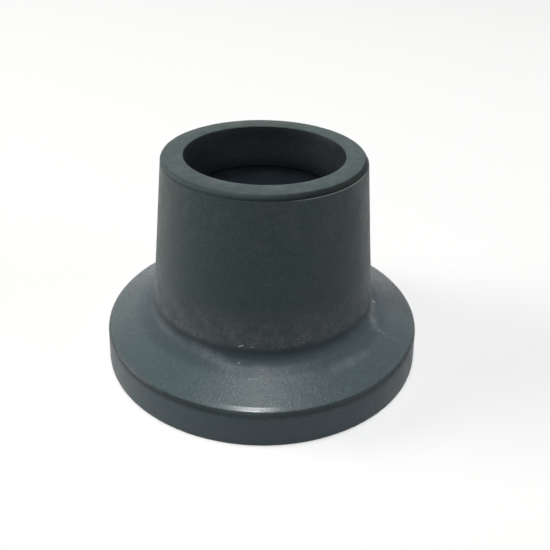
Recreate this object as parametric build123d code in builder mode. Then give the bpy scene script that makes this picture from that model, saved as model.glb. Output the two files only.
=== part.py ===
from build123d import *

import os

# Chair leg tip: one moulded rubber piece with a wide foot and a shallow socket for the leg's end.
# The origin is the centre of the underside, +Z is the socket's axis, and sizes are in millimetres.

# Foot: a flange with a slightly drafted outer band and a sloping top
base_diameter = 55.0
flange_diameter = 54.3
flange_edge_height = 5.5
base_edge_chamfer = 0.3
flange_edge_radius = 1.0

# Collar: a tapered tube that runs into the flange through a soft fillet
overall_height = 35.7
foot_diameter = 38.2
foot_height = 9.5
foot_fillet_radius = 2.2
parting_line_diameter = 32.7
parting_line_height = 34.8

# Rim: the shallow cap above the mould's parting line sits a little inside the wall
parting_step = 0.1
rim_edge_radius = 0.7

# Socket: takes the end of a 25 mm round leg, which stands on its floor
socket_diameter = 25.0
socket_depth = 7.5
mouth_edge_chamfer = 0.3

# Tread: concentric grooves round a shallow central recess on the underside
tread_groove_count = 2
tread_groove_pitch = 6.0
tread_outer_groove_diameter = 44.4
tread_groove_width = 2.0
tread_groove_depth = 1.2
tread_groove_flank_angle = 70.0
recess_diameter = 22.0
recess_depth = 1.2


def outline_corner(sketch, diameter, height):
    """The corner of a half section at a diameter and a height."""
    return sketch.vertices().sort_by_distance((diameter / 2, height))[0]


os.makedirs("parts", exist_ok=True)

with BuildPart() as leg_tip:
    # The outside: a half section with its moulded edges, turned about the socket's axis
    rim_diameter = parting_line_diameter - 2 * parting_step
    with BuildSketch(Plane.XZ) as half_section:
        with BuildLine():
            Polyline(
                (0, 0),
                (base_diameter / 2, 0),
                (flange_diameter / 2, flange_edge_height),
                (foot_diameter / 2, foot_height),
                (parting_line_diameter / 2, parting_line_height),
                (rim_diameter / 2, parting_line_height),
                (rim_diameter / 2, overall_height),
                (0, overall_height),
                close=True,
            )
        make_face()
        chamfer(outline_corner(half_section, base_diameter, 0), base_edge_chamfer)
        fillet(outline_corner(half_section, flange_diameter, flange_edge_height), flange_edge_radius)
        fillet(outline_corner(half_section, foot_diameter, foot_height), foot_fillet_radius)
        fillet(outline_corner(half_section, rim_diameter, overall_height), rim_edge_radius)
    revolve(axis=Axis.Z)

    # The socket, with a broken edge round its mouth
    with Locations((0, 0, overall_height)):
        Hole(radius=socket_diameter / 2, depth=socket_depth)
    top_face = leg_tip.faces().sort_by(Axis.Z)[-1]
    mouth_edge = top_face.edges().sort_by(SortBy.RADIUS)[0]
    chamfer(mouth_edge, mouth_edge_chamfer)

    # The tread grooves, cut by one drafted section each
    groove_radii = [
        tread_outer_groove_diameter / 2 - ring * tread_groove_pitch
        for ring in range(tread_groove_count)
    ]
    with BuildSketch(Plane.XZ):
        with Locations(*[(radius, 0) for radius in groove_radii]):
            Trapezoid(
                tread_groove_width,
                tread_groove_depth,
                tread_groove_flank_angle,
                align=(Align.CENTER, Align.MIN),
            )
    revolve(axis=Axis.Z, mode=Mode.SUBTRACT)

    # The recess in the middle of the tread
    with BuildSketch(Plane.XY):
        Circle(recess_diameter / 2)
    extrude(amount=recess_depth, mode=Mode.SUBTRACT)

leg_tip.part.label = "leg_tip"
export_step(leg_tip.part, "parts/leg_tip.step")
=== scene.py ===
import math

import bmesh
import bpy
from mathutils import Matrix, Vector


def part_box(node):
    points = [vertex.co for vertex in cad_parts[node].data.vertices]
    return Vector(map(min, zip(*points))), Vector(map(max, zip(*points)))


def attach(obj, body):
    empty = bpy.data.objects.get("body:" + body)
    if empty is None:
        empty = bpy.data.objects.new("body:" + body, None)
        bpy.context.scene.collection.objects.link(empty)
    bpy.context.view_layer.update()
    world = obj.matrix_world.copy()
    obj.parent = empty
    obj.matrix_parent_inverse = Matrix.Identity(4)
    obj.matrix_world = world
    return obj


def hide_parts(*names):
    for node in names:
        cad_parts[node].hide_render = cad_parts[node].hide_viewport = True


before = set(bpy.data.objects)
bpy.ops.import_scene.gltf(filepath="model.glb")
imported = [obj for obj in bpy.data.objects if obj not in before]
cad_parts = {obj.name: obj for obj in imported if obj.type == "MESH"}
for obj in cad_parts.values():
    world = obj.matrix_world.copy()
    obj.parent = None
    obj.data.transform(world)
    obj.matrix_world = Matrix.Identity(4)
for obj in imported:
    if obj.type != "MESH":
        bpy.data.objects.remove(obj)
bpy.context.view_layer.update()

# Sizes of the leg tip, in metres, with its underside at the frame's floor and its axis along +Z
MM = 0.001
tip_low, tip_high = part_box("leg_tip")
overall_height = tip_high.z - tip_low.z

base_radius = 27.5 * MM
flange_radius = 27.15 * MM
flange_edge_height = 5.9 * MM
base_edge_fillet = 0.3 * MM
flange_edge_fillet = 1.0 * MM

foot_radius = 19.1 * MM
foot_height = 9.5 * MM
foot_fillet = 2.2 * MM
parting_line_radius = 16.35 * MM
parting_line_height = 34.8 * MM

ledge_width = 0.12 * MM
cap_radius = parting_line_radius - ledge_width
cap_shift = Vector((-0.11, 0.02, 0)) * MM
rim_edge_fillet = 0.7 * MM

socket_radius = 12.5 * MM
socket_depth = 7.5 * MM
socket_floor_height = overall_height - socket_depth
mouth_edge_fillet = 0.15 * MM
mouth_stretch = Vector((1.022, 0.995, 1))

tread_grooves = 2
tread_groove_pitch = 6.0 * MM
tread_outer_groove_radius = 22.2 * MM
tread_groove_width = 2.0 * MM
tread_groove_floor_width = 1.13 * MM
tread_groove_depth = 1.2 * MM
recess_radius = 11.0 * MM
recess_depth = 1.2 * MM

# How finely the mesh follows the round form
ring_points = 192
band_steps = 3
slope_steps = 5
wall_steps = 14
socket_steps = 4
rim_steps = 2
smoothed_up_to = math.radians(35)

# How uneven the moulding is: the waves start above the flat underside and grow to their full height
unevenness = 0.09 * MM
unevenness_size = 11 * MM
unevenness_starts = 1.5 * MM
unevenness_grows_over = 3 * MM

# How closely points have to agree to count as level, or as one ring
same_level = 0.001 * MM
same_ring = 0.005 * MM

# Patterns in the rubber: the size of a patch in millimetres, the share it covers, and its softness
patterns = {
    "clouds": (14, 0.5, 0.25),
    "blotches": (1.5, 0.5, 0.15),
    "mottle": (0.6, 0.5, 0.15),
    "grain": (0.25, 0.5, 0.2),
    "speckle": (0.4, 0.5, 0.15),
    "bloom": (2.6, 0.42, 0.1),
    "dull patches": (7, 0.6, 0.15),
    "rim grain": (0.3, 0.5, 0.1),
    "rim bloom": (1.8, 0.45, 0.08),
    "rim mottle": (0.8, 0.48, 0.06),
    "faded patches": (2.2, 0.6, 0.2),
    "scuffs": (0.35, 0.5, 0.15),
    "scuff patches": (2.6, 0.5, 0.15),
    "dust": (0.16, 0.5, 0.15),
    "socket grain": (0.5, 0.5, 0.2),
    "sheen patches": (3, 0.5, 0.2),
    "pores": (0.25, 0.5, 0.3),
    "dimples": (1.6, 0.5, 0.3),
    "slope pores": (0.3, 0.5, 0.3),
}

# The rubber's own colour, from cloud to cloud
dark_rubber = (0.066, 0.097, 0.104)
pale_rubber = (0.073, 0.106, 0.112)

# Tones laid over the rubber in turn, painted light and shade among them: the zones and patterns
# each keeps to, its strength and colour
tone_layers = (
    (("blotches",), 0.7, (0.084, 0.116, 0.12)),
    (("mottle",), 0.9, (0.05, 0.073, 0.079)),
    (("grain",), 1.0, (0.045, 0.067, 0.072)),
    (("wall",), 0.33, (0.03, 0.043, 0.047)),
    (("slope",), 0.22, (0.1, 0.135, 0.145)),
    # Painted shade on the slope behind the collar, strong at the far right and light at the far
    # left
    (("painted shade on the slope's far right",), 0.9, (0.03, 0.045, 0.05)),
    (("painted shade on the slope's far left",), 0.25, (0.03, 0.045, 0.05)),
    (("by the fillet",), 0.5, (0.03, 0.048, 0.06)),
    # Painted shade down the fillet's curve, where the collar meets the flange
    (("painted fillet shade",), 0.4, (0.022, 0.031, 0.04)),
    (("side band",), 0.65, (0.1, 0.132, 0.148)),
    # Painted light on the band's right end, where the light from the right falls
    (("painted light on the band's right",), 0.35, (0.17, 0.18, 0.19)),
    # Painted warm light on the band's left end, where the warm light from the left falls
    (("painted warm light on the band's left",), 0.12, (0.17, 0.175, 0.14)),
    (("side band", "speckle"), 0.25, (0.05, 0.07, 0.08)),
)

# Wear and painted light and shade laid over the tones: bloom, dull and scuffed patches, painted
# sheen on the wall, painted shade on the rim's back, the flange's edge and the cap's side, and the
# line of flash with a painted highlight
wear_layers = (
    (("under the rim", "bloom"), 0.25, (0.09, 0.11, 0.11)),
    # Painted sheen: the wall's sides lighter and warmer, where the light grazes them
    (("painted sheen on the wall's sides",), 0.17, (0.12, 0.13, 0.115)),
    # Painted sheen on the wall's left, where the light from the left grazes it
    (("painted sheen on the wall's left",), 0.16, (0.13, 0.15, 0.13)),
    (("rim top", "dull patches"), 0.5, (0.035, 0.055, 0.055)),
    # Painted shade on the back of the rim's top
    (("painted shade on the rim's back",), 0.22, (0.035, 0.06, 0.025)),
    (("dull spot on the rim",), 0.25, (0.03, 0.045, 0.045)),
    (("rim top", "rim grain"), 0.45, (0.035, 0.05, 0.05)),
    (("rim top", "rim bloom"), 0.3, (0.1, 0.135, 0.135)),
    (("rim top", "rim mottle"), 0.4, (0.04, 0.062, 0.055)),
    (("above the foot", "faded patches"), 0.35, (0.11, 0.122, 0.135)),
    (("above the foot", "scuffs", "scuff patches"), 0.85, (0.15, 0.155, 0.165)),
    # Painted shade along the flange's edge, a dark line under the highlight
    (("painted shade on the flange's edge",), 0.75, (0.012, 0.018, 0.018)),
    # Painted shade on the cap's side above the parting line, strongest at the right
    (("cap's side with painted shade",), 0.9, (0.008, 0.012, 0.012)),
    # The line of flash under the cap at the right, painted light as a highlight where its ledge
    # catches the light
    (("line of flash with painted highlight",), 0.3, (0.35, 0.37, 0.33)),
)

# The socket's wall, from front to back, painted paler at the back as light, and what is laid over
# it and its floor, which is mostly painted shade and shadow
socket_front_colour = (0.034, 0.042, 0.05)
# Painted light: the socket's wall is made paler towards the back, where more light reaches it
socket_back_painted_light_colour = (0.053, 0.063, 0.073)
socket_layers = (
    (("socket grain",), 0.4, (0.02, 0.024, 0.03)),
    # Painted shade on the lowest part of the socket's wall, by the corner
    (("painted shade at the socket wall's foot",), 0.68, (0.006, 0.007, 0.01)),
    # Painted shade on the top of the socket's wall, just inside the mouth
    (("painted shade by the socket's mouth",), 0.6, (0.005, 0.006, 0.007)),
    # Painted shade on the socket's floor, deep in the recess
    (("painted shade on the socket's floor",), 1.0, (0.005, 0.008, 0.011)),
    # Painted shadow: a dark ring round the socket's floor, shifted as the rim's shadow falls
    (("painted shade on the socket's floor", "painted shadow in the socket's corner"), 0.85, (0.001, 0.001, 0.001)),
)

# Streaks of dust along the fillet and on the flange, picked in the photo and carried onto the
# surface: the places they run through and the width, in millimetres, and the strength
dust_colour = (0.3, 0.33, 0.33)
dust_streaks = (
    (((-10.6, -16.0, 9.9), (-8.6, -17.4, 9.6), (-6.7, -18.5, 9.3), (-5.1, -19.8, 8.8)), 1.4, 0.22),
    (((-2.0, -21.9, 8.1), (-0.8, -21.9, 8.1)), 0.35, 0.55),
    (((-0.8, -21.9, 8.1), (4.0, -21.6, 8.1)), 0.35, 0.2),
    (((4.3, -21.4, 8.2), (7.4, -20.6, 8.1)), 0.8, 0.15),
    (((11.0, -19.1, 8.0), (13.7, -17.4, 8.0), (16.3, -15.2, 7.9)), 1.4, 0.2),
    (((19.0, -2.6, 9.9), (18.7, -4.8, 9.8), (18.5, -7.3, 9.2), (18.9, -8.8, 8.6)), 1.5, 0.32),
    (((19.3, -9.4, 8.3), (20.2, -9.7, 7.9)), 0.5, 0.45),
    (((20.9, -10.1, 7.5), (21.8, -10.0, 7.1)), 0.35, 0.4),
    (((21.8, -10.0, 7.1), (22.9, -10.3, 6.5)), 0.4, 0.6),
)

# Specks, found in the same way: where each starts and ends and its width, in millimetres, and its
# strength
speck_colour = (0.6, 0.62, 0.58)
specks = (
    ((-3.57, -18.52, 11.72), (-2.93, -18.6, 12.02), 0.17, 0.9),
    ((-1.74, -18.77, 11.76), (-1.39, -18.79, 11.84), 0.15, 0.45),
    ((-3.71, -19.42, 9.23), (-3.36, -19.41, 9.29), 0.15, 0.45),
    ((19.49, -2.4, 9.35), (19.3, -2.6, 9.5), 0.4, 0.5),
    ((18.99, -2.95, 9.9), (18.95, -3.1, 9.9), 0.3, 0.45),
)

# Sheen: the rubber's roughness and reflection, and where it is smoother or duller
smoothest_rubber = 0.46
roughest_rubber = 0.55
smoother_on_the_slope = 0.25
smoother_in_the_socket = 0.06
rougher_on_the_cap_side = 0.25
rubber_reflection = 0.18
edge_polish = 0.9
edge_polish_roughness = 0.22

# Relief: the masks of each kind of pore or dimple, and its depth in millimetres
relief_layers = (
    (("pores",), 0.018),
    (("dimples",), 0.02),
    (("slope pores", "slope"), 0.015),
)

# The camera of the photograph: its place, turn and lens, for a square frame
camera_distance_back = 97.22 * MM
camera_height = 73.14 * MM
camera_pitch = math.radians(31.679)
camera_yaw = math.radians(1.209)
camera_roll = math.radians(1.398)
camera_lens = 42.76
camera_sensor_width = 36
camera_nearest = 5 * MM
camera_farthest = 40

# Softboxes: name, place and size in metres, power in watts, and colour
plain_white = (1, 1, 1)
warm_white = (1, 0.98, 0.92)
cool_white = (0.92, 0.97, 1)
softboxes = (
    ("overhead_softbox", (0, 0.1, 2.4), 0.7, 23, plain_white),
    ("front_overhead_softbox", (-0.2, -0.7, 2.3), 0.35, 28, plain_white),
    ("left_softbox", (-2.2, 0.2, 0.7), 1.2, 28, warm_white),
    ("back_left_softbox", (-1.6, 1.6, 0.7), 1.2, 2, warm_white),
    ("right_softbox", (2.1, -0.7, 0.7), 1.2, 5.5, cool_white),
)

# The floor, in metres: it fades into the white surround from one distance to another
floor_size = 3
floor_fade_starts = 0.25
floor_fade_ends = 1.2
floor_seen_colour = (0.97, 0.97, 0.97)
floor_bounce_colour = (0.28, 0.28, 0.28)

# Where a Mix node keeps its colours, as its sockets for numbers, vectors and colours share names
mix_colour_inputs = (6, 7)
mix_colour_output = 2


def deselect_everything():
    """Leaves no object selected or active."""
    bpy.ops.object.select_all(action="DESELECT")
    bpy.context.view_layer.objects.active = None


def edited():
    """The mesh under edit, with its lookup tables ready."""
    mesh = bmesh.from_edit_mesh(bpy.context.edit_object.data)
    mesh.verts.ensure_lookup_table()
    mesh.edges.ensure_lookup_table()
    mesh.faces.ensure_lookup_table()
    return mesh


def select_end_face(height):
    """Selects the one flat end face at a height."""
    bpy.ops.mesh.select_all(action="DESELECT")
    bpy.ops.mesh.select_mode(type="FACE")
    mesh = edited()
    for face in mesh.faces:
        level = all(abs(vert.co.z - height) < same_level for vert in face.verts)
        face.select = level and len(face.verts) == ring_points
    bmesh.update_edit_mesh(bpy.context.edit_object.data)


def select_verts(chosen):
    """Selects the points of the mesh under edit for which chosen(radius, height) is true."""
    bpy.ops.mesh.select_all(action="DESELECT")
    bpy.ops.mesh.select_mode(type="VERT")
    mesh = edited()
    for vert in mesh.verts:
        vert.select = chosen(vert.co.xy.length, vert.co.z)
    mesh.select_flush_mode()
    bmesh.update_edit_mesh(bpy.context.edit_object.data)


def carry_end_face(radius, height):
    """Extrudes the selected end face to a new ring, given by its radius and height."""
    ring = [vert for vert in edited().verts if vert.select]
    growth = radius / ring[0].co.xy.length
    rise = height - ring[0].co.z
    bpy.ops.mesh.extrude_region_move(TRANSFORM_OT_translate={"value": (0, 0, rise)})
    bpy.ops.transform.resize(value=(growth, growth, 1), center_override=(0, 0, 0))


def carry_in_steps(start, end, steps):
    """Carries the selected end face along a straight slope in equal steps."""
    for step in range(1, steps + 1):
        radius = start[0] + (end[0] - start[0]) * step / steps
        height = start[1] + (end[1] - start[1]) * step / steps
        carry_end_face(radius, height)


def close_end_face():
    """Shrinks the selected end face to a point, so that the centre is closed by a fan."""
    bpy.ops.mesh.extrude_region_move(TRANSFORM_OT_translate={"value": (0, 0, 0)})
    bpy.ops.mesh.merge(type="CENTER")


def round_ring(radius, height, fillet, segments):
    """Rounds the ring of edges at a radius and height to a fillet's radius."""

    def on_the_ring(vert):
        return abs(vert.co.xy.length - radius) < same_ring and abs(vert.co.z - height) < same_ring

    bpy.ops.mesh.select_all(action="DESELECT")
    bpy.ops.mesh.select_mode(type="EDGE")
    ring = [edge for edge in edited().edges if all(on_the_ring(vert) for vert in edge.verts)]
    for edge in ring:
        edge.select = True
    reach = fillet * math.tan(ring[0].calc_face_angle() / 2)
    bpy.ops.mesh.bevel(offset=reach, segments=segments, profile=0.5, affect="EDGES")


def model_foot_and_collar():
    """Draws the outside up from the underside: band, sloping flange, tapered collar and cap."""
    first_band_height = flange_edge_height / band_steps
    bpy.ops.mesh.primitive_cylinder_add(
        vertices=ring_points,
        radius=base_radius,
        depth=first_band_height,
        end_fill_type="NGON",
        location=(0, 0, first_band_height / 2),
    )
    tip = bpy.context.object
    tip.name = tip.data.name = "leg_tip_rubber"
    bpy.ops.object.transform_apply(location=True, rotation=True, scale=True)
    bpy.ops.object.mode_set(mode="EDIT")

    # The band leans in a little towards the top, so its first ring is drawn in to the same slope
    band_top = (flange_radius, flange_edge_height)
    first_band_radius = base_radius + (flange_radius - base_radius) / band_steps
    select_end_face(first_band_height)
    draw_in = first_band_radius / base_radius
    bpy.ops.transform.resize(value=(draw_in, draw_in, 1), center_override=(0, 0, 0))
    carry_in_steps((first_band_radius, first_band_height), band_top, band_steps - 1)

    carry_in_steps(band_top, (foot_radius, foot_height), slope_steps)
    parting_line = (parting_line_radius, parting_line_height)
    carry_in_steps((foot_radius, foot_height), parting_line, wall_steps)

    # The cap above the parting line stands a little inside the wall
    carry_end_face(cap_radius, parting_line_height)
    carry_end_face(cap_radius, overall_height)
    return tip


def model_socket():
    """Sinks the socket into the cap's top."""
    mouth = (socket_radius, overall_height)
    corner = (socket_radius, socket_floor_height)
    carry_in_steps((cap_radius, overall_height), mouth, rim_steps)
    carry_in_steps(mouth, corner, socket_steps)
    carry_in_steps(corner, (socket_radius / 4, socket_floor_height), socket_steps)
    close_end_face()


def model_tread():
    """Cuts the rings of the tread and the recess in the middle of the underside."""
    select_end_face(0)
    groove_half = tread_groove_width / 2
    floor_half = tread_groove_floor_width / 2
    for groove in range(tread_grooves):
        middle = tread_outer_groove_radius - groove * tread_groove_pitch
        carry_end_face(middle + groove_half, 0)
        carry_end_face(middle + floor_half, tread_groove_depth)
        carry_end_face(middle - floor_half, tread_groove_depth)
        carry_end_face(middle - groove_half, 0)
    carry_end_face(recess_radius, 0)
    carry_end_face(recess_radius, recess_depth)
    carry_end_face(recess_radius / 2, recess_depth)
    close_end_face()


def round_the_edges():
    """Gives each moulded edge its own fillet."""
    round_ring(foot_radius, foot_height, foot_fillet, segments=10)
    round_ring(flange_radius, flange_edge_height, flange_edge_fillet, segments=8)
    round_ring(base_radius, 0, base_edge_fillet, segments=4)
    round_ring(cap_radius, overall_height, rim_edge_fillet, segments=6)
    round_ring(socket_radius, overall_height, mouth_edge_fillet, segments=3)


def settle_the_rim():
    """Moves the cap a little to one side, as the mould's halves met, and makes the mouth oval."""
    slack = 0.01 * MM
    clear_of_the_mouth = socket_radius + 1 * MM

    def on_the_cap(radius, height):
        inside_the_wall = clear_of_the_mouth < radius < cap_radius + slack
        return inside_the_wall and height > parting_line_height - slack

    def round_the_mouth(radius, height):
        near_the_edge = radius < socket_radius + 2 * mouth_edge_fillet
        return near_the_edge and height > overall_height - 2 * mouth_edge_fillet

    select_verts(on_the_cap)
    bpy.ops.transform.translate(value=cap_shift)
    select_verts(round_the_mouth)
    bpy.ops.transform.resize(value=mouth_stretch, center_override=(0, 0, 0))


def make_uneven(tip):
    """Lets the moulded outside wander a little, and leaves the underside flat."""
    group = tip.vertex_groups.new(name="free_surface")
    for vert in tip.data.vertices:
        share = max(0, vert.co.z - unevenness_starts) / unevenness_grows_over
        group.add([vert.index], min(1, share), "REPLACE")
    clouds = bpy.data.textures.new("moulding_waves", "CLOUDS")
    clouds.noise_scale = unevenness_size
    clouds.noise_depth = 1
    waves = tip.modifiers.new("moulding_waves", "DISPLACE")
    waves.texture = clouds
    waves.texture_coords = "LOCAL"
    waves.strength = unevenness
    waves.mid_level = 0.5
    waves.vertex_group = group.name
    bpy.ops.object.modifier_apply(modifier=waves.name)
    tip.vertex_groups.clear()


def make_leg_tip():
    """The whole rubber moulding."""
    deselect_everything()
    tip = model_foot_and_collar()
    model_socket()
    model_tread()
    round_the_edges()
    settle_the_rim()
    bpy.ops.mesh.select_all(action="SELECT")
    bpy.ops.mesh.normals_make_consistent(inside=False)
    bpy.ops.object.mode_set(mode="OBJECT")
    make_uneven(tip)
    bpy.ops.object.shade_smooth_by_angle(angle=smoothed_up_to)
    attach(tip, "root")
    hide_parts("leg_tip")
    return tip


def add_node(tree, kind, settings=None, inputs=None):
    """Adds a node, sets its options, and gives each input a value or a link."""
    node = tree.nodes.new(kind)
    for option, value in (settings or {}).items():
        setattr(node, option, value)
    for name, value in (inputs or {}).items():
        if isinstance(value, bpy.types.NodeSocket):
            tree.links.new(value, node.inputs[name])
        else:
            node.inputs[name].default_value = value
    return node


def calculate(tree, operation, first, second=0.0):
    """A sum, product or other calculation on one or two numbers."""
    node = add_node(tree, "ShaderNodeMath", {"operation": operation}, {0: first, 1: second})
    return node.outputs[0]


def between(tree, value, low, high, to_low=0.0, to_high=1.0):
    """A smooth step from one value to another as a number runs from low to high."""
    node = add_node(
        tree,
        "ShaderNodeMapRange",
        {"interpolation_type": "SMOOTHSTEP"},
        {"Value": value, "From Min": low, "From Max": high, "To Min": to_low, "To Max": to_high},
    )
    return node.outputs["Result"]


def blend(tree, mask, first, second):
    """One colour over another by a mask."""
    node = add_node(tree, "ShaderNodeMix", {"data_type": "RGBA"}, {"Factor": mask})
    for place, colour in zip(mix_colour_inputs, (first, second)):
        socket = node.inputs[place]
        if isinstance(colour, bpy.types.NodeSocket):
            tree.links.new(colour, socket)
        else:
            socket.default_value = (*colour, 1)
    return node.outputs[mix_colour_output]


def new_group(name, numbers, vectors=()):
    """A node group that takes vectors and numbers and puts out a mask."""
    group = bpy.data.node_groups.new(name, "ShaderNodeTree")
    for label in vectors:
        group.interface.new_socket(name=label, in_out="INPUT", socket_type="NodeSocketVector")
    for label in numbers:
        group.interface.new_socket(name=label, in_out="INPUT", socket_type="NodeSocketFloat")
    group.interface.new_socket(name="Mask", in_out="OUTPUT", socket_type="NodeSocketFloat")
    return group, group.nodes.new("NodeGroupInput").outputs


def put_out(group, mask):
    """Joins a mask to a node group's output."""
    exit_node = group.nodes.new("NodeGroupOutput")
    group.links.new(mask, exit_node.inputs["Mask"])
    return group


def patches_group():
    """Soft-edged patches of a size, over a share of the surface."""
    group, given = new_group("patches", ("Size", "Coverage", "Softness"), ("Position",))
    scale = calculate(group, "DIVIDE", 1.0, given["Size"])
    noise = add_node(
        group,
        "ShaderNodeTexNoise",
        None,
        {"Vector": given["Position"], "Scale": scale, "Detail": 3.0, "Roughness": 0.6},
    )
    edge = calculate(group, "SUBTRACT", 1.0, given["Coverage"])
    low = calculate(group, "SUBTRACT", edge, given["Softness"])
    high = calculate(group, "ADD", edge, given["Softness"])
    return put_out(group, between(group, noise.outputs["Fac"], low, high))


def band_group():
    """A band of a value, such as a height or a radius, with faded limits."""
    group, given = new_group("band", ("Value", "Lowest", "Highest", "Fade"))
    below = calculate(group, "SUBTRACT", given["Lowest"], given["Fade"])
    above = calculate(group, "ADD", given["Highest"], given["Fade"])
    rise = between(group, given["Value"], below, given["Lowest"])
    fall = between(group, given["Value"], given["Highest"], above, 1.0, 0.0)
    return put_out(group, calculate(group, "MULTIPLY", rise, fall))


def streak_group():
    """A thin streak between two places on the surface."""
    group, given = new_group("streak", ("Width",), ("Position", "Start", "End"))

    def vector_math(operation, first, second):
        node = add_node(group, "ShaderNodeVectorMath", {"operation": operation}, {0: first})
        socket = node.inputs["Scale"] if operation == "SCALE" else node.inputs[1]
        group.links.new(second, socket)
        return node

    away = vector_math("SUBTRACT", given["Position"], given["Start"]).outputs[0]
    run = vector_math("SUBTRACT", given["End"], given["Start"]).outputs[0]
    along = vector_math("DOT_PRODUCT", away, run).outputs["Value"]
    whole = vector_math("DOT_PRODUCT", run, run).outputs["Value"]
    share = add_node(
        group,
        "ShaderNodeMath",
        {"operation": "DIVIDE", "use_clamp": True},
        {0: along, 1: whole},
    ).outputs[0]
    nearest = vector_math("SCALE", run, share).outputs[0]
    distance = vector_math("DISTANCE", away, nearest).outputs["Value"]
    return put_out(group, between(group, distance, 0.0, given["Width"], 1.0, 0.0))


class Rubber:
    """The moulded rubber: its tones, wear, dust and marks, with painted light and shade, laid over
    each other in turn.

    Places, widths and distances are given to its methods in millimetres.
    """

    def __init__(self):
        self.material = bpy.data.materials.new("moulded_rubber")
        self.material.use_nodes = True
        self.tree = self.material.node_tree
        self.position = self.tree.nodes.new("ShaderNodeTexCoord").outputs["Object"]
        self.groups = {
            "patches": patches_group(),
            "band": band_group(),
            "streak": streak_group(),
        }
        parts = add_node(self.tree, "ShaderNodeSeparateXYZ", None, {0: self.position}).outputs
        self.side = parts["X"]
        self.back = parts["Y"]
        self.height = parts["Z"]
        self.near_side = self.falling(self.back, start=-4, end=2)
        self.masks = {name: self.patches(*pattern) for name, pattern in patterns.items()}
        self.masks.update(self.zones_of_the_foot())
        self.masks.update(self.zones_of_the_collar())
        self.masks.update(self.zones_of_the_rim())
        self.masks.update(self.zones_of_the_socket())

    def from_group(self, name, inputs):
        """The mask that one of the node groups puts out."""
        node = add_node(self.tree, "ShaderNodeGroup", {"node_tree": self.groups[name]}, inputs)
        return node.outputs["Mask"]

    def patches(self, size, coverage, softness):
        """Soft-edged patches of a size, over a share of the surface."""
        inputs = {
            "Position": self.position,
            "Size": size * MM,
            "Coverage": coverage,
            "Softness": softness,
        }
        return self.from_group("patches", inputs)

    def band(self, value, lowest, highest, fade):
        """A band of heights or radii with faded limits."""
        inputs = {
            "Value": value,
            "Lowest": lowest * MM,
            "Highest": highest * MM,
            "Fade": fade * MM,
        }
        return self.from_group("band", inputs)

    def streak(self, start, end, width):
        """A thin streak between two places on the surface."""
        inputs = {
            "Position": self.position,
            "Start": Vector(start) * MM,
            "End": Vector(end) * MM,
            "Width": width * MM,
        }
        return self.from_group("streak", inputs)

    def rising(self, value, start, end, least=0.0):
        """A mask that rises to one while a distance runs from start to end."""
        return between(self.tree, value, start * MM, end * MM, least, 1.0)

    def falling(self, value, start, end):
        """A mask that falls from one to nought while a distance runs from start to end."""
        return between(self.tree, value, start * MM, end * MM, 1.0, 0.0)

    def times(self, *masks):
        """The product of masks and strengths."""
        product = masks[0]
        for mask in masks[1:]:
            product = calculate(self.tree, "MULTIPLY", product, mask)
        return product

    def masked(self, names, strength):
        """The product of the masks of these names and a strength."""
        return self.times(*[self.masks[name] for name in names], strength)

    def lay_over(self, colour, layers):
        """Lays tones over a colour in turn, each where its masks are."""
        for names, strength, tone in layers:
            colour = blend(self.tree, self.masked(names, strength), colour, tone)
        return colour

    def vector_math(self, operation, first, second=(0, 0, 0)):
        """A node for a sum, product or length of vectors."""
        settings = {"operation": operation}
        return add_node(self.tree, "ShaderNodeVectorMath", settings, {0: first, 1: second})

    def distance_from(self, side, back):
        """The level distance from an upright line at a place to the side and back."""
        away = self.vector_math("SUBTRACT", self.position, Vector((side, back, 0)) * MM)
        level = self.vector_math("MULTIPLY", away.outputs[0], (1, 1, 0))
        return self.vector_math("LENGTH", level.outputs[0]).outputs["Value"]

    def zones_of_the_foot(self):
        """The flange's band, its edge, its slope and the fillet round the collar, with painted
        light and shade on the band's ends, the edge, the slope's far sides and the fillet.
        """
        # Painted shade on the slope behind the collar, at its far sides
        slope_behind = self.times(
            self.rising(self.height, start=5.6, end=6.2),
            self.falling(self.height, start=10, end=11),
            self.rising(self.back, start=-5, end=2),
        )
        side_band = self.band(self.height, lowest=0, highest=4.6, fade=0.6)
        side_of_the_highlight = calculate(self.tree, "SUBTRACT", self.side, -2.5 * MM)
        from_the_highlight = calculate(self.tree, "ABSOLUTE", side_of_the_highlight)
        return {
            "slope": self.band(self.height, lowest=5.6, highest=8.8, fade=0.4),
            "painted shade on the slope's far right": self.times(
                slope_behind, self.rising(self.side, start=8, end=14)
            ),
            "painted shade on the slope's far left": self.times(
                slope_behind, self.falling(self.side, start=-14, end=-8)
            ),
            "by the fillet": self.times(
                self.band(self.distance_from(0, 0), lowest=19.0, highest=21.2, fade=1.3),
                self.band(self.height, lowest=7.4, highest=10.2, fade=0.7),
            ),
            # Painted shade down the fillet's curve, where the collar meets the flange
            "painted fillet shade": self.band(self.height, lowest=10.1, highest=11.2, fade=0.6),
            "side band": side_band,
            # Painted light on the band's right end, where the light from the right falls
            "painted light on the band's right": self.times(side_band, self.rising(self.side, start=14, end=22)),
            # Painted warm light on the band's left end, where the warm light from the left falls
            "painted warm light on the band's left": self.times(
                side_band, self.falling(self.side, start=-23, end=-17), self.near_side
            ),
            # Painted shade along the flange's edge, a dark line under the highlight, weaker at the
            # highlight
            "painted shade on the flange's edge": self.times(
                self.rising(self.height, start=5.1, end=5.55),
                self.falling(self.height, start=5.98, end=6.12),
                self.rising(from_the_highlight, start=1, end=6, least=0.7),
            ),
            "polished edge": self.times(
                self.band(self.height, lowest=6.14, highest=6.36, fade=0.06),
                self.rising(self.side, start=-9, end=-2),
                self.falling(self.side, start=-0.8, end=4),
                self.near_side,
            ),
        }

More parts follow.
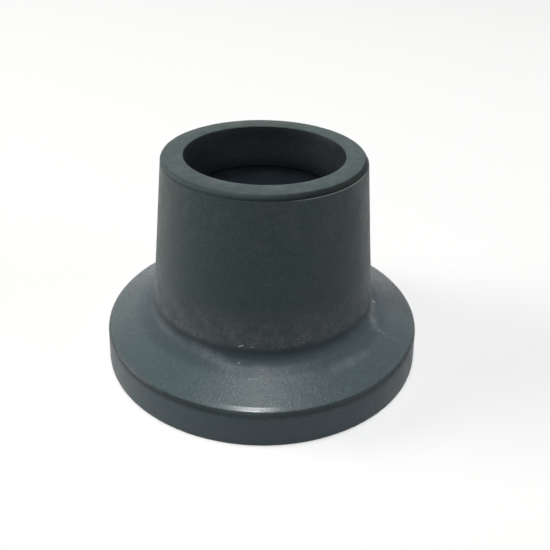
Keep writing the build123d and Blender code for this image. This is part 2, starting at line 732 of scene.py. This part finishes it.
    def zones_of_the_collar(self):
        """The tapered wall, its sides with painted sheen, and where it is scuffed or has bloomed.
        """
        wall = self.band(self.height, lowest=10.5, highest=34.9, fade=0.8)
        from_the_middle = calculate(self.tree, "ABSOLUTE", self.side)
        return {
            "wall": wall,
            # Painted sheen: the wall's sides lighter and warmer, where the light grazes them
            "painted sheen on the wall's sides": self.times(
                wall,
                self.rising(self.height, start=12, end=20, least=0.5),
                self.rising(from_the_middle, start=12, end=16.5),
            ),
            # Painted sheen on the wall's left, where the light from the left grazes it
            "painted sheen on the wall's left": self.times(
                wall,
                self.falling(self.side, start=-17, end=-10),
                self.rising(self.height, start=11, end=30),
            ),
            "above the foot": self.times(
                self.rising(self.height, start=10.8, end=12),
                self.falling(self.height, start=13, end=19),
            ),
            "under the rim": self.band(self.height, lowest=29, highest=33.5, fade=4),
        }

    def zones_of_the_rim(self):
        """The rim's top, its back with painted shade, the side of the cap with painted shade, and
        the line of flash below it at the right with a painted highlight.
        """
        rim_top = self.rising(self.height, start=35.3, end=35.6)
        dull_spot = self.falling(self.distance_from(-8.2, -11.3), start=2, end=6)
        return {
            "rim top": rim_top,
            # Painted shade on the back of the rim's top
            "painted shade on the rim's back": self.times(rim_top, self.rising(self.back, start=4, end=12)),
            "dull spot on the rim": self.times(rim_top, dull_spot),
            # Painted shade on the cap's side above the parting line, strongest at the right
            "cap's side with painted shade": self.times(
                self.band(self.height, lowest=34.86, highest=35.6, fade=0.1),
                self.rising(self.side, start=-6, end=8, least=0.35),
                self.near_side,
            ),
            # The line of flash under the cap at the right, painted light as a highlight where its
            # ledge catches the light
            "line of flash with painted highlight": self.times(
                self.band(self.height, lowest=34.75, highest=34.81, fade=0.04),
                self.rising(self.side, start=3, end=7),
                self.falling(self.side, start=14.5, end=15.6),
                self.near_side,
            ),
        }

    def zones_of_the_socket(self):
        """The inside of the socket, by its depth below the rim and its height above the floor, with
        painted light at the back and painted shade and shadow lower down and by the mouth.
        """
        depth = calculate(self.tree, "SUBTRACT", overall_height, self.height)
        lift = calculate(self.tree, "SUBTRACT", self.height, socket_floor_height)
        return {
            "socket": self.times(
                self.rising(depth, start=0.1, end=0.2),
                self.falling(self.distance_from(0, 0), start=13.3, end=13.5),
                self.rising(self.height, start=20, end=21),
            ),
            # Painted light on the socket's wall towards the back
            "painted light on the socket's back": self.rising(self.back, start=0, end=12),
            # Painted shade on the top of the socket's wall, just inside the mouth
            "painted shade by the socket's mouth": self.falling(depth, start=0.5, end=3.2),
            # Painted shade on the lowest part of the socket's wall, by the corner
            "painted shade at the socket wall's foot": self.falling(lift, start=0.3, end=2.6),
            # Painted shade on the socket's floor, deep in the recess
            "painted shade on the socket's floor": self.falling(lift, start=0.05, end=0.4),
            # Painted shadow: a dark ring round the socket's floor, shifted as the rim's shadow
            # falls
            "painted shadow in the socket's corner": self.rising(self.distance_from(0.9, -0.3), start=9.2, end=11.6),
        }

    def dusted(self, colour):
        """The streaks of dust round the fillet, and the specks that stick to the tip."""
        for route, width, strength in dust_streaks:
            for start, end in zip(route, route[1:]):
                streak = self.streak(start, end, width)
                dust = self.times(streak, self.masks["dust"], strength)
                colour = blend(self.tree, dust, colour, dust_colour)
        for start, end, width, strength in specks:
            speck = self.times(self.streak(start, end, width), strength)
            colour = blend(self.tree, speck, colour, speck_colour)
        return colour

    def inside_the_socket(self, colour):
        """The socket's wall, painted paler at the back as light, and its floor painted dark as
        shade, with a painted shadow in the corner.
        """
        # Painted light: the socket's wall paler towards the back
        back = self.masks["painted light on the socket's back"]
        wall = blend(self.tree, back, socket_front_colour, socket_back_painted_light_colour)
        inside = self.lay_over(wall, socket_layers)
        return blend(self.tree, self.masks["socket"], colour, inside)

    def colour(self):
        """The colour all over: tones, wear, dust and painted light and shade outside, and the
        socket's own inside with its painted light and shade.
        """
        rubber = blend(self.tree, self.masks["clouds"], dark_rubber, pale_rubber)
        outside = self.lay_over(self.lay_over(rubber, tone_layers), wear_layers)
        return self.inside_the_socket(self.dusted(outside))

    def roughness(self):
        """Patchy, smoother on the slope and in the socket, and dull on the side of the cap."""
        tree = self.tree
        patchy = between(
            tree, self.masks["sheen patches"], 0.0, 1.0, smoothest_rubber, roughest_rubber
        )
        slope = self.masked(("slope",), smoother_on_the_slope)
        socket = self.masked(("socket",), smoother_in_the_socket)
        cap_side = self.masked(("cap's side with painted shade",), rougher_on_the_cap_side)
        smoothed = calculate(tree, "SUBTRACT", calculate(tree, "SUBTRACT", patchy, slope), socket)
        return calculate(tree, "ADD", smoothed, cap_side)

    def relief(self):
        """The height of the pores and dimples, as a surface normal."""
        height = 0.0
        for names, depth in relief_layers:
            height = calculate(self.tree, "ADD", self.masked(names, depth * MM), height)
        bump = add_node(self.tree, "ShaderNodeBump", None, {"Height": height, "Distance": 1.0})
        return bump.outputs["Normal"]

    def finish(self):
        """Joins the layers to the shader."""
        shader = self.tree.nodes["Principled BSDF"]
        polish = self.masked(("polished edge",), edge_polish)
        self.tree.links.new(self.colour(), shader.inputs["Base Color"])
        self.tree.links.new(self.roughness(), shader.inputs["Roughness"])
        self.tree.links.new(polish, shader.inputs["Coat Weight"])
        self.tree.links.new(self.relief(), shader.inputs["Normal"])
        shader.inputs["Specular IOR Level"].default_value = rubber_reflection
        shader.inputs["Coat Roughness"].default_value = edge_polish_roughness
        return self.material


def seen_directly(tree):
    """One for what the camera sees itself or through reflections and glass, nought for bounces."""
    path = tree.nodes.new("ShaderNodeLightPath").outputs
    seen = calculate(tree, "MAXIMUM", path["Is Camera Ray"], path["Is Glossy Ray"])
    return calculate(tree, "MAXIMUM", seen, path["Is Transmission Ray"])


def pale_floor():
    """The floor's material: dim in bounces, almost white where seen, and fading far off."""
    material = bpy.data.materials.new("pale_floor")
    material.use_nodes = True
    tree = material.node_tree
    shader = tree.nodes["Principled BSDF"]
    colour = blend(tree, seen_directly(tree), floor_bounce_colour, floor_seen_colour)
    tree.links.new(colour, shader.inputs["Base Color"])
    position = tree.nodes.new("ShaderNodeTexCoord").outputs["Object"]
    away = add_node(tree, "ShaderNodeVectorMath", {"operation": "LENGTH"}, {0: position})
    fade = between(tree, away.outputs["Value"], floor_fade_starts, floor_fade_ends, 1.0, 0.0)
    tree.links.new(fade, shader.inputs["Alpha"])
    shader.inputs["Roughness"].default_value = 1
    shader.inputs["Specular IOR Level"].default_value = 0
    return material


def make_floor():
    """The floor under the tip."""
    deselect_everything()
    bpy.ops.mesh.primitive_plane_add(size=floor_size, location=(0, 0, tip_low.z))
    floor = bpy.context.object
    floor.name = "studio_floor"
    floor.data.materials.append(pale_floor())


def make_camera():
    """The camera, turned by yaw, then pitch, then roll about its own line of sight."""
    ahead = Vector((
        math.sin(camera_yaw) * math.cos(camera_pitch),
        math.cos(camera_yaw) * math.cos(camera_pitch),
        -math.sin(camera_pitch),
    ))
    level_right = Vector((math.cos(camera_yaw), -math.sin(camera_yaw), 0))
    level_up = level_right.cross(ahead)
    right = math.cos(camera_roll) * level_right + math.sin(camera_roll) * level_up
    up = math.cos(camera_roll) * level_up - math.sin(camera_roll) * level_right
    data = bpy.data.cameras.new("photo_camera")
    data.lens = camera_lens
    data.sensor_width = camera_sensor_width
    data.clip_start = camera_nearest
    data.clip_end = camera_farthest
    camera = bpy.data.objects.new("photo_camera", data)
    bpy.context.scene.collection.objects.link(camera)
    turn = Matrix((right, up, -ahead)).transposed().to_4x4()
    camera.matrix_world = Matrix.Translation((0, -camera_distance_back, camera_height)) @ turn
    bpy.context.scene.camera = camera


def make_softbox(name, place, size, power, colour):
    """A square softbox that faces the tip."""
    data = bpy.data.lights.new(name, "AREA")
    data.shape = "SQUARE"
    data.size = size
    data.energy = power
    data.color = colour
    lamp = bpy.data.objects.new(name, data)
    lamp.visible_camera = False
    bpy.context.scene.collection.objects.link(lamp)
    lamp.location = place
    aim = Vector((0, 0, overall_height / 2)) - Vector(place)
    lamp.rotation_euler = aim.to_track_quat("-Z", "Y").to_euler()


def make_world():
    """A white surround for the camera and reflections, which adds no light to the object."""
    world = bpy.data.worlds.new("studio_world")
    world.use_nodes = True
    bpy.context.scene.world = world
    tree = world.node_tree
    background = tree.nodes["Background"]
    background.inputs["Color"].default_value = (1, 1, 1, 1)
    tree.links.new(seen_directly(tree), background.inputs["Strength"])


bpy.context.scene.view_settings.view_transform = "Standard"
make_camera()
make_world()
for softbox in softboxes:
    make_softbox(*softbox)
make_floor()
leg_tip = make_leg_tip()
leg_tip.data.materials.append(Rubber().finish())
